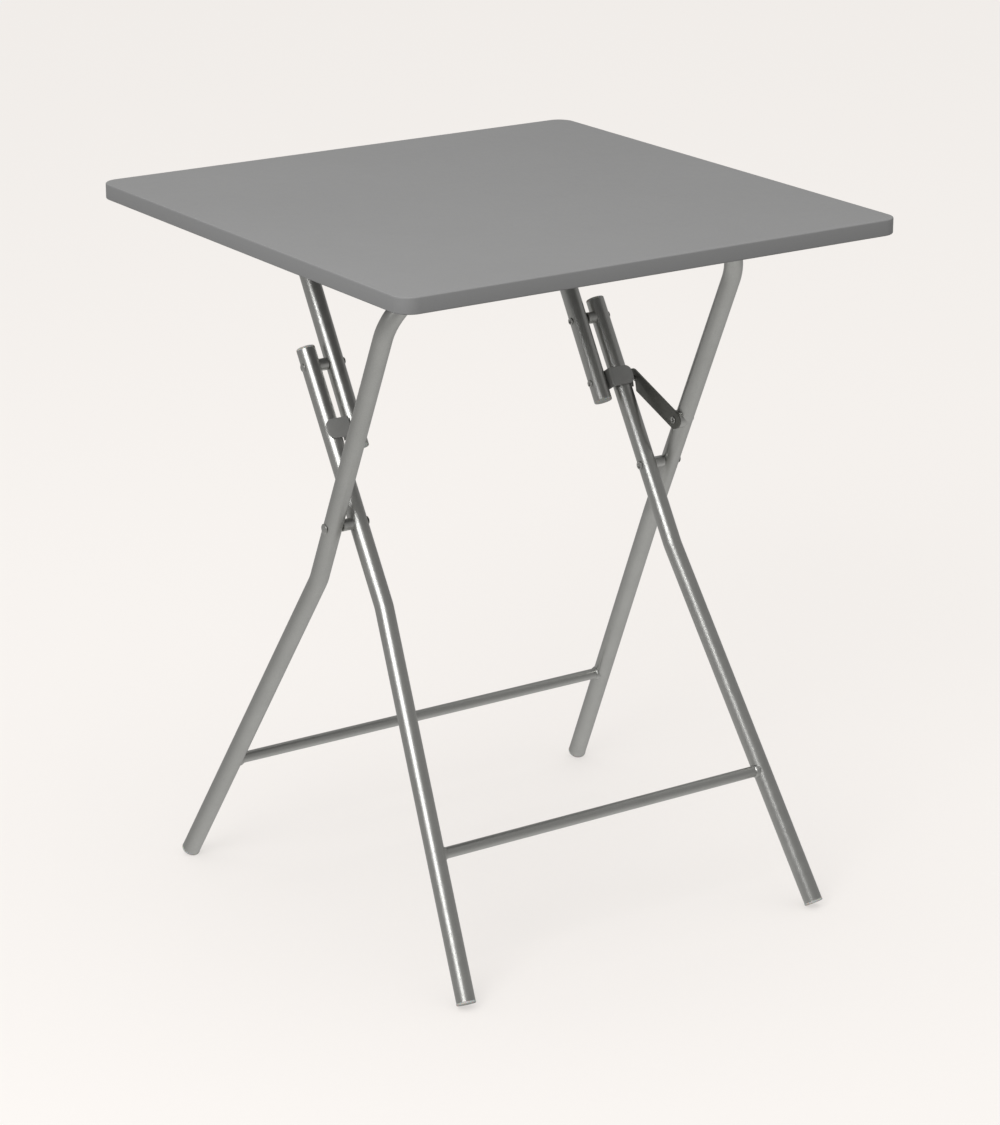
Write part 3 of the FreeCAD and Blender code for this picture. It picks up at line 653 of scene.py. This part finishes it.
class AddShortFrame(TableStep):
    """The short frame: a U whose bar hinges under the rear of the top"""
    bl_idname = "folding_table.add_short_frame"
    bl_label = "Short frame"

    def build(self, sizes, here):
        half = [here.short_low, at(here.short_x, here.rear_hinge)]
        path = half + [other_side(point) for point in reversed(half)]
        tube = bent_tube(path, [sizes.short_top_bend] * 2, here.tube_radius, sizes.tube_wall)
        dress(tube, "short_frame_bent_tube", "short_frame", "tube", finish("silver_coating"),
              "short_frame_tube")


class AddCrossbars(TableStep):
    """The two crossbars and the weld beads at their ends"""
    bl_idname = "folding_table.add_crossbars"
    bl_label = "Crossbars"

    def build(self, sizes, here):
        radius = sizes.crossbar_diameter / 2
        inside = math.sqrt(here.tube_radius ** 2 - radius ** 2) - 0.0004
        for frame_name, leg in (("outer", here.outer_low), ("middle", here.middle_low)):
            body = frame_name + "_frame"
            node = frame_name + "_crossbar"
            end = at(leg.crossbar.x - inside, leg.crossbar)
            bar = bent_tube([other_side(end), end], [], radius, sizes.tube_wall, sides=36)
            dress(bar, node + "_tube", body, "tube", finish("silver_coating"), node)
            bead = self.bead(radius)
            place(bead, at(leg.crossbar.x - here.tube_radius, leg.crossbar), X_AXIS, Z_AXIS)
            twin = mirror_of(bead)
            dress(bead, node + "_weld_right", body, "tube", finish("silver_coating"))
            dress(twin, node + "_weld_left", body, "tube", finish("silver_coating"))

    def bead(self, radius):
        """A fillet that widens into the leg, its rings a little uneven as a weld is."""
        profile = [(radius + 0.00005, -0.0016), (radius + 0.0006, -0.0012), (radius + 0.0011, -0.0003),
                   (radius + 0.0016, 0.0009), (radius + 0.0021, 0.0024), (radius + 0.0022, 0.0040)]
        bead = turned(profile, sides=40)
        ripple = bpy.data.textures.new("weld_ripple", "CLOUDS")
        ripple.noise_scale = 0.0022
        apply_modifier(bead, "DISPLACE", texture=ripple, strength=0.0007, mid_level=0.5)
        return bead


class AddFeet(TableStep):
    """The moulded feet in the lower ends of the four legs"""
    bl_idname = "folding_table.add_feet"
    bl_label = "Feet"

    def build(self, sizes, here):
        pattern = tube_plug(here.bore_radius, sizes.plug_length, sizes.foot_radius,
                            sizes.foot_thickness, sizes.foot_round)
        for name, body, leg in (("outer_foot", "outer_frame", here.outer_low),
                                ("middle_foot", "middle_frame", here.middle_low)):
            foot = place(copy_of(pattern), leg.foot, leg.direction, X_AXIS)
            dress_pair(foot, name, body, "cap", finish("milky_plastic"))
        bpy.data.objects.remove(pattern)


class AddCaps(TableStep):
    """The end caps of the middle legs' tops and of the short frame's lower ends"""
    bl_idname = "folding_table.add_caps"
    bl_label = "End caps"

    def build(self, sizes, here):
        pattern = tube_plug(here.bore_radius, sizes.plug_length, here.tube_radius,
                            sizes.cap_thickness, sizes.cap_round)
        for name, body, end, outward in (("middle_cap", "middle_frame", here.middle_top, here.middle_up),
                                         ("short_cap", "short_frame", here.short_low, -here.short_up)):
            cap = place(copy_of(pattern), end, outward, X_AXIS)
            dress_pair(cap, name, body, "cap", finish("milky_plastic"))
        bpy.data.objects.remove(pattern)


def tube_plug(bore_radius, plug_length, rim_radius, thickness, rounding):
    """A ribbed plug with a rounded rim, its end face dished round the gate mark."""
    plug = bore_radius - 0.0001
    profile = [(plug - 0.0009, -plug_length), (plug - 0.0003, -plug_length + 0.001)]
    for rib in range(3):
        base = -plug_length + 0.002 + rib * 0.0032
        profile += [(plug - 0.0005, base), (plug, base + 0.0008), (plug - 0.0005, base + 0.0016)]
    profile += [(plug - 0.0004, -0.0004), (rim_radius - 0.0002, -0.0001), (rim_radius, 0.0002)]
    profile += quarter(rim_radius - rounding, thickness - rounding, rounding, 0, 90, steps=7)
    profile += [(rim_radius * 0.52, thickness), (rim_radius * 0.47, thickness - 0.0005),
                (0.0018, thickness - 0.0005), (0.0015, thickness - 0.0002), (0.0006, thickness - 0.0002)]
    return turned(profile)


def rivet(head_radius, head_height, pin_radius, grip):
    """A domed head below its seat, a shank through the grip and a rolled hollow tail."""
    dome = [(head_radius * math.sin(math.radians(step)), -head_height * math.cos(math.radians(step)))
            for step in (6, 20, 34, 48, 62, 74, 84)]
    tail = head_radius * 0.86
    rolled = [(tail * 0.86, 0), (tail, 0.25), (tail, 0.55), (tail * 0.93, 0.8), (tail * 0.80, 0.9),
              (tail * 0.66, 0.78), (tail * 0.56, 0.45), (tail * 0.50, 0.0), (tail * 0.46, -0.4),
              (0.0006, -0.5)]
    profile = dome + [(head_radius, -head_height * 0.04), (head_radius * 0.98, 0), (pin_radius, 0)]
    profile += [(pin_radius, grip)]
    profile += [(radius, grip + head_height * rise) for radius, rise in rolled]
    return turned(profile, sides=40)


class AddRivets(TableStep):
    """The rivets of the scissor, the knee, the catch plates and the lock arm"""
    bl_idname = "folding_table.add_rivets"
    bl_label = "Rivets"

    def build(self, sizes, here):
        steps = (("scissor_rivet", "middle_frame", sizes.scissor_head, here.scissor),
                 ("knee_rivet", "middle_frame", sizes.rivet_head, here.knee),
                 ("catch_rivet", "short_frame", sizes.rivet_head, middle_of("catch_rivet_right")))
        for name, body, head, where in steps:
            piece = self.fitted(name + "_right", sizes, head, where)
            dress_pair(piece, name, body, "rivet", finish("zinc_plate"))
        piece = self.fitted("lock_rivet", sizes, sizes.rivet_head, here.lock_pivot)
        dress(piece, "lock_rivet_made", "outer_frame", "rivet", finish("zinc_plate"), "lock_rivet")

    def fitted(self, node, sizes, head, where):
        """A rivet as long as its node, with its domed head outside."""
        low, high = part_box(node)
        grip = high.x - low.x - 2 * sizes.head_height
        made = rivet(head, sizes.head_height, sizes.pin_radius, grip)
        return place(made, at(high.x - sizes.head_height, where), -X_AXIS, Z_AXIS)


class AddBushes(TableStep):
    """The spacers between the crossing tubes, and the larger one behind the lock arm"""
    bl_idname = "folding_table.add_bushes"
    bl_label = "Bushes"

    def build(self, sizes, here):
        for name, where in (("scissor_bush", here.scissor), ("knee_bush", here.knee)):
            piece = self.fitted(name + "_right", where)
            dress_pair(piece, name, "middle_frame", "bush", finish("zinc_plate"))
        piece = self.fitted("lock_bush", here.lock_pivot)
        dress(piece, "lock_bush_made", "outer_frame", "bush", finish("zinc_plate"), "lock_bush")

    def fitted(self, node, where):
        """A turned ring the size of its node, its edges chamfered and its middle slightly waisted."""
        low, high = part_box(node)
        radius = (high.z - low.z) / 2
        long = high.x - low.x
        chamfer = 0.0004
        profile = [(radius - 2 * chamfer, 0), (radius - chamfer, chamfer * 0.3), (radius, chamfer),
                   (radius, long * 0.3), (radius - 0.0001, long * 0.5), (radius, long * 0.7),
                   (radius, long - chamfer), (radius - chamfer, long - chamfer * 0.3),
                   (radius - 2 * chamfer, long)]
        return place(turned(profile, sides=40), at(low.x, where), X_AXIS, Z_AXIS)


class AddCatchPlates(TableStep):
    """The bent plates that stop against the front of the middle legs"""
    bl_idname = "folding_table.add_catch_plates"
    bl_label = "Catch plates"

    def build(self, sizes, here):
        low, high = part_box("catch_plate_right")
        centre = middle_of("catch_plate_right")
        half = sizes.catch_thickness / 2
        flange_x = low.x + half
        rearward, upward = here.middle_up.cross(X_AXIS), here.middle_up
        reach = centre - here.knee
        flange_middle = here.knee + upward * reach.dot(upward)
        tall = self.extent("catch_plate_right", upward)
        deep = self.extent("catch_plate_right", rearward)
        level = flange_middle + upward * ((tall.low + tall.high) / 2 - flange_middle.dot(upward))
        level -= rearward * level.dot(rearward)
        back_edge = at(flange_x, level + rearward * deep.high)
        corner = at(flange_x, level + rearward * (deep.low + half))
        tip = at(high.x, level + rearward * (deep.low + half))
        plate = strip([back_edge, corner, tip], [sizes.catch_bend], upward * (tall.high - tall.low),
                      sizes.catch_thickness, sizes.catch_corner, rounded_ends=1)
        soften(plate, 0.0004, segments=3)
        dress_pair(plate, "catch_plate", "short_frame", "plate", finish("grey_coating"))

    def extent(self, node, direction):
        """How far a node reaches along a direction."""
        places = [vertex.co.dot(direction) for vertex in frame["nodes"][node].data.vertices]
        return SimpleNamespace(low=min(places), high=max(places))


class AddLock(TableStep):
    """The lock arm with its slanted slot, and the stud that it drops over"""
    bl_idname = "folding_table.add_lock"
    bl_label = "Lock"

    def build(self, sizes, here):
        low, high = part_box("lock_arm")
        stud_place = middle_of("lock_stud")
        line = at(0, stud_place) - here.lock_pivot
        half_width = (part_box("lock_arm")[0].y - here.lock_pivot.y) * -1
        thickness = high.x - low.x
        overhang = high.y - stud_place.y - half_width
        arm = block(Vector((-half_width, -half_width, 0)),
                    Vector((line.length + overhang + half_width, half_width, thickness)),
                    half_width - 0.00001)
        play = sizes.pin_radius + sizes.slot_clearance
        bpy.ops.object.select_all(action="DESELECT")
        bpy.ops.mesh.primitive_cylinder_add(vertices=48, radius=play, depth=4 * thickness,
                                            location=(line.length, 0, thickness / 2))
        round_end = start_piece()
        bpy.ops.object.mode_set(mode="OBJECT")
        carve(arm, round_end)
        mouth = block(Vector((0, -play, -thickness)), Vector((2 * half_width, play, 2 * thickness)))
        slant = -math.pi / 2 - sizes.slot_slant
        mouth.matrix_world = Matrix.Translation((line.length, 0, 0)) @ Matrix.Rotation(slant, 4, "Z")
        carve(arm, mouth)
        soften(arm, 0.00035, segments=3)
        place(arm, at(low.x, here.lock_pivot), X_AXIS, line)
        # The lock arm gets the darkened plate grey, which paints its shade.
        dress(arm, "lock_arm_plate", "lock_arm", "dark_plate", finish("dark_coating"), "lock_arm")
        self.add_stud(sizes, stud_place)

    def add_stud(self, sizes, stud_place):
        """A stud with a shoulder and a domed head."""
        low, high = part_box("lock_stud")
        head = (high.z - low.z) / 2
        long = high.x - low.x
        rise = sizes.stud_head_height
        shoulder = long - rise
        profile = [(sizes.pin_radius, 0), (sizes.pin_radius, shoulder), (head - 0.0002, shoulder),
                   (head, shoulder + rise * 0.15), (head, long - rise * 0.6)]
        profile += [(head - rise * 0.2, long - rise * 0.25), (head - rise * 0.6, long - rise * 0.05),
                    (0.0010, long)]
        stud = place(turned(profile, sides=40), at(low.x, stud_place), X_AXIS, Z_AXIS)
        dress(stud, "lock_stud_made", "middle_frame", "rivet", finish("zinc_plate"), "lock_stud")


class AddHingeClips(TableStep):
    """The straps bent round the rear bar and screwed under the board"""
    bl_idname = "folding_table.add_hinge_clips"
    bl_label = "Hinge clips"

    def build(self, sizes, here):
        low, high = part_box("hinge_clip_right")
        half = sizes.clip_sheet / 2
        middle_x = (low.x + high.x) / 2
        neck = (high.y - low.y) / 2 - sizes.clip_foot - half
        level = here.underside - half
        lowest = low.z + half
        path = [Vector((middle_x, here.rear_hinge.y + y, z)) for y, z in (
            (-neck - half - sizes.clip_foot, level), (-neck, level), (-neck, lowest),
            (neck, lowest), (neck, level), (neck + half + sizes.clip_foot, level))]
        bends = [2 * half, neck, neck, 2 * half]
        clip = strip(path, bends, X_AXIS * (high.x - low.x), sizes.clip_sheet, 0.005, rounded_ends=2)
        soften(clip, 0.0004, segments=3)
        dress_pair(clip, "hinge_clip", "tabletop", "plate", finish("grey_coating"))


class AddCradles(TableStep):
    """The moulded cradles that the outer frame's bar sits in"""
    bl_idname = "folding_table.add_cradles"
    bl_label = "Front cradles"

    def build(self, sizes, here):
        low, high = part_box("front_cradle_right")
        groove_radius = here.tube_radius + sizes.side_clearance
        wall_start = here.front_hinge.y + groove_radius
        wall_end = wall_start + sizes.cradle_wall
        plate_low = here.underside - sizes.cradle_plate
        cradle = block(Vector((low.x, low.y, plate_low)), high, 0.004)
        wall = block(Vector((low.x, wall_start, low.z)), Vector((high.x, wall_end, high.z - 0.001)))
        carve(cradle, wall, "UNION")
        for share in (0.18, 0.82):
            x = low.x + (high.x - low.x) * share
            rib = block(Vector((x - 0.001, wall_end - 0.001, low.z + 0.002)),
                        Vector((x + 0.001, wall_end + 0.0055, plate_low + 0.001)))
            select_parts(rib, "vertices",
                         lambda corner: corner.y > wall_end and corner.z < plate_low - 0.001)
            bpy.ops.transform.translate(value=(0, -0.0045, 0))
            bpy.ops.object.mode_set(mode="OBJECT")
            carve(cradle, rib, "UNION")
        bpy.ops.object.select_all(action="DESELECT")
        bpy.ops.mesh.primitive_cylinder_add(vertices=96, radius=groove_radius, depth=high.x - low.x + 0.01,
                                            location=at((low.x + high.x) / 2, here.front_hinge),
                                            rotation=(0, math.pi / 2, 0))
        groove = start_piece()
        bpy.ops.object.mode_set(mode="OBJECT")
        carve(cradle, groove)
        soften(cradle, 0.0005)
        dress_pair(cradle, "front_cradle", "tabletop", "clip", finish("dark_plastic"))


class AddScrews(TableStep):
    """The cross-recessed screws of the hinge clips and of the cradles"""
    bl_idname = "folding_table.add_screws"
    bl_label = "Screws"

    def build(self, sizes, here):
        for label in ("hinge", "cradle"):
            self.add_group(label + "_screws", label, sizes)

    def add_group(self, node, label, sizes):
        """Four screws as one piece, in the places of the node's own solids."""
        low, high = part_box(node)
        head = sizes.screw_head
        seat = low.z + 0.002
        pattern = self.screw(head, seat - low.z)
        screws = []
        for x in (-high.x + head, high.x - head):
            for y in (low.y + head, high.y - head):
                screws.append(place(copy_of(pattern), Vector((x, y, seat)), -Z_AXIS, X_AXIS))
        bpy.data.objects.remove(pattern)
        bpy.ops.object.select_all(action="DESELECT")
        for screw in screws:
            screw.select_set(True)
        bpy.context.view_layer.objects.active = screws[0]
        bpy.ops.object.join()
        dress(bpy.context.object, label + "_screw_set", "tabletop", "rivet", finish("zinc_plate"), node)

    def screw(self, head, rise):
        """One pan head with a cross recess, on a short shank into the board."""
        profile = [(0.0015, -0.010), (0.0018, -0.009), (0.0018, 0), (head - 0.0002, 0), (head, 0.0002)]
        profile += [(head, rise * 0.35), (head * 0.95, rise * 0.62), (head * 0.82, rise * 0.84),
                    (head * 0.6, rise * 0.96), (head * 0.3, rise)]
        screw = turned(profile, sides=36)
        for turn in (0, math.pi / 2):
            bar = block(Vector((-0.0021, -0.00045, rise - 0.0011)), Vector((0.0021, 0.00045, rise + 0.001)))
            select_parts(bar, "vertices", lambda corner: corner.z < rise)
            bpy.ops.transform.resize(value=(0.45, 0.8, 1), center_override=(0, 0, 0))
            bpy.ops.object.mode_set(mode="OBJECT")
            bar.matrix_world = Matrix.Rotation(turn, 4, "Z")
            carve(screw, bar)
        soften(screw, 0.00012)
        return screw


# ---------------------------------------------------------------- stage

class SetStage(TableStep):
    """Pale floor, soft light and the camera"""
    bl_idname = "folding_table.set_stage"
    bl_label = "Stage"

    def build(self, sizes, here):
        stage = bpy.context.scene.table_stage
        bpy.ops.object.select_all(action="DESELECT")
        bpy.ops.mesh.primitive_plane_add(size=80, location=(0, 0, 0))
        floor = bpy.context.object
        floor.name = "studio_floor"
        floor.data.materials.append(finish("studio_floor"))
        floor.visible_glossy = False
        floor.visible_diffuse = False
        self.softbox("front_softbox", Vector((-2.6, -1.5, 2.5)), 2.0, stage.key_power, here.knee)
        self.softbox("top_softbox", Vector((0.3, 0.2, 3.4)), 2.6, stage.top_power, here.knee)
        self.add_world(stage)
        self.add_camera(stage)
        bpy.context.scene.view_settings.view_transform = "Standard"

    def softbox(self, name, place_at, size, power, target):
        """A large square light turned to the table."""
        bpy.ops.object.light_add(type="AREA", location=place_at,
                                 rotation=(target - place_at).to_track_quat("-Z", "Y").to_euler())
        light = bpy.context.object
        light.name = name
        light.data.shape = "SQUARE"
        light.data.size = size
        light.data.energy = power

    def add_world(self, stage):
        """Even fill for the surfaces, and a darker room with a pale floor for the gloss to mirror."""
        world = bpy.data.worlds.new("studio")
        bpy.context.scene.world = world
        world.use_nodes = True
        tree = world.node_tree
        tree.nodes.clear()
        floor = bpy.context.scene.table_colours.floor
        rays = tree.nodes.new("ShaderNodeLightPath")
        direction = tree.nodes.new("ShaderNodeTexCoord")
        parts = tree.nodes.new("ShaderNodeSeparateXYZ")
        height = tree.nodes.new("ShaderNodeMapRange")
        height.inputs["From Min"].default_value = -1
        mirrored_shades = ((0.0, 0.62), (0.18, 0.52), (0.36, 0.36), (0.5, 0.33), (0.66, 0.26), (1.0, 0.30))
        fill_shades = ((0.0, 0.26), (0.5, 0.28), (0.66, 0.66), (1.0, 1.0))
        seen, fill, mirrored = (tree.nodes.new("ShaderNodeBackground") for _ in range(3))
        seen.inputs["Color"].default_value = (*floor, 1)
        fill.inputs["Strength"].default_value = stage.fill
        first = tree.nodes.new("ShaderNodeMixShader")
        second = tree.nodes.new("ShaderNodeMixShader")
        output = tree.nodes.new("ShaderNodeOutputWorld")
        join = tree.links.new
        join(direction.outputs["Generated"], parts.inputs["Vector"])
        join(parts.outputs["Z"], height.inputs["Value"])
        for background, shades in ((mirrored, mirrored_shades), (fill, fill_shades)):
            ramp = self.add_ramp(tree, shades)
            join(height.outputs["Result"], ramp.inputs["Fac"])
            join(ramp.outputs["Color"], background.inputs["Color"])
        join(rays.outputs["Is Glossy Ray"], first.inputs["Fac"])
        join(fill.outputs["Background"], first.inputs[1])
        join(mirrored.outputs["Background"], first.inputs[2])
        join(rays.outputs["Is Camera Ray"], second.inputs["Fac"])
        join(first.outputs["Shader"], second.inputs[1])
        join(seen.outputs["Background"], second.inputs[2])
        join(second.outputs["Shader"], output.inputs["Surface"])

    def add_ramp(self, tree, shades):
        """A ramp of nearly neutral greys."""
        ramp = tree.nodes.new("ShaderNodeValToRGB")
        while len(ramp.color_ramp.elements) < len(shades):
            ramp.color_ramp.elements.new(0.5)
        for element, (position, grey) in zip(ramp.color_ramp.elements, shades):
            element.position = position
            element.color = (grey, grey * 0.995, grey * 0.98, 1)
        return ramp

    def add_camera(self, stage):
        """The camera, looking at its target with a slight roll."""
        azimuth, elevation = stage.azimuth, stage.elevation
        back = Vector((math.sin(azimuth) * math.cos(elevation), -math.cos(azimuth) * math.cos(elevation),
                       math.sin(elevation)))
        turn = (-back).to_track_quat("-Z", "Y") @ Quaternion((0, 0, 1), stage.roll)
        bpy.ops.object.camera_add(location=Vector(stage.target) + back * stage.distance,
                                  rotation=turn.to_euler())
        camera = bpy.context.object
        camera.name = "studio_camera"
        camera.data.lens = stage.lens
        camera.data.sensor_width = 36
        bpy.context.scene.camera = camera


STEPS = (AddBoard, AddOuterFrame, AddMiddleFrame, AddShortFrame, AddCrossbars, AddFeet, AddCaps, AddRivets,
         AddBushes, AddCatchPlates, AddLock, AddHingeClips, AddCradles, AddScrews, SetStage)


class TablePanel(bpy.types.Panel):
    """Sidebar panel with every step in order"""
    bl_idname = "VIEW3D_PT_folding_table"
    bl_label = "Folding Table"
    bl_space_type = "VIEW_3D"
    bl_region_type = "UI"
    bl_category = "Folding Table"

    def draw(self, context):
        for step in STEPS:
            self.layout.operator(step.bl_idname)


CLASSES = (TableSizes, TableColours, TableStage, *STEPS, TablePanel)


def register():
    for item in CLASSES:
        bpy.utils.register_class(item)
    bpy.types.Scene.table_sizes = PointerProperty(type=TableSizes)
    bpy.types.Scene.table_colours = PointerProperty(type=TableColours)
    bpy.types.Scene.table_stage = PointerProperty(type=TableStage)


def unregister():
    del bpy.types.Scene.table_stage
    del bpy.types.Scene.table_colours
    del bpy.types.Scene.table_sizes
    for item in reversed(CLASSES):
        bpy.utils.unregister_class(item)


def main():
    """Build every piece and the stage."""
    register()
    for step in STEPS:
        group, name = step.bl_idname.split(".")
        getattr(getattr(bpy.ops, group), name)()


if __name__ == "__main__":
    main()
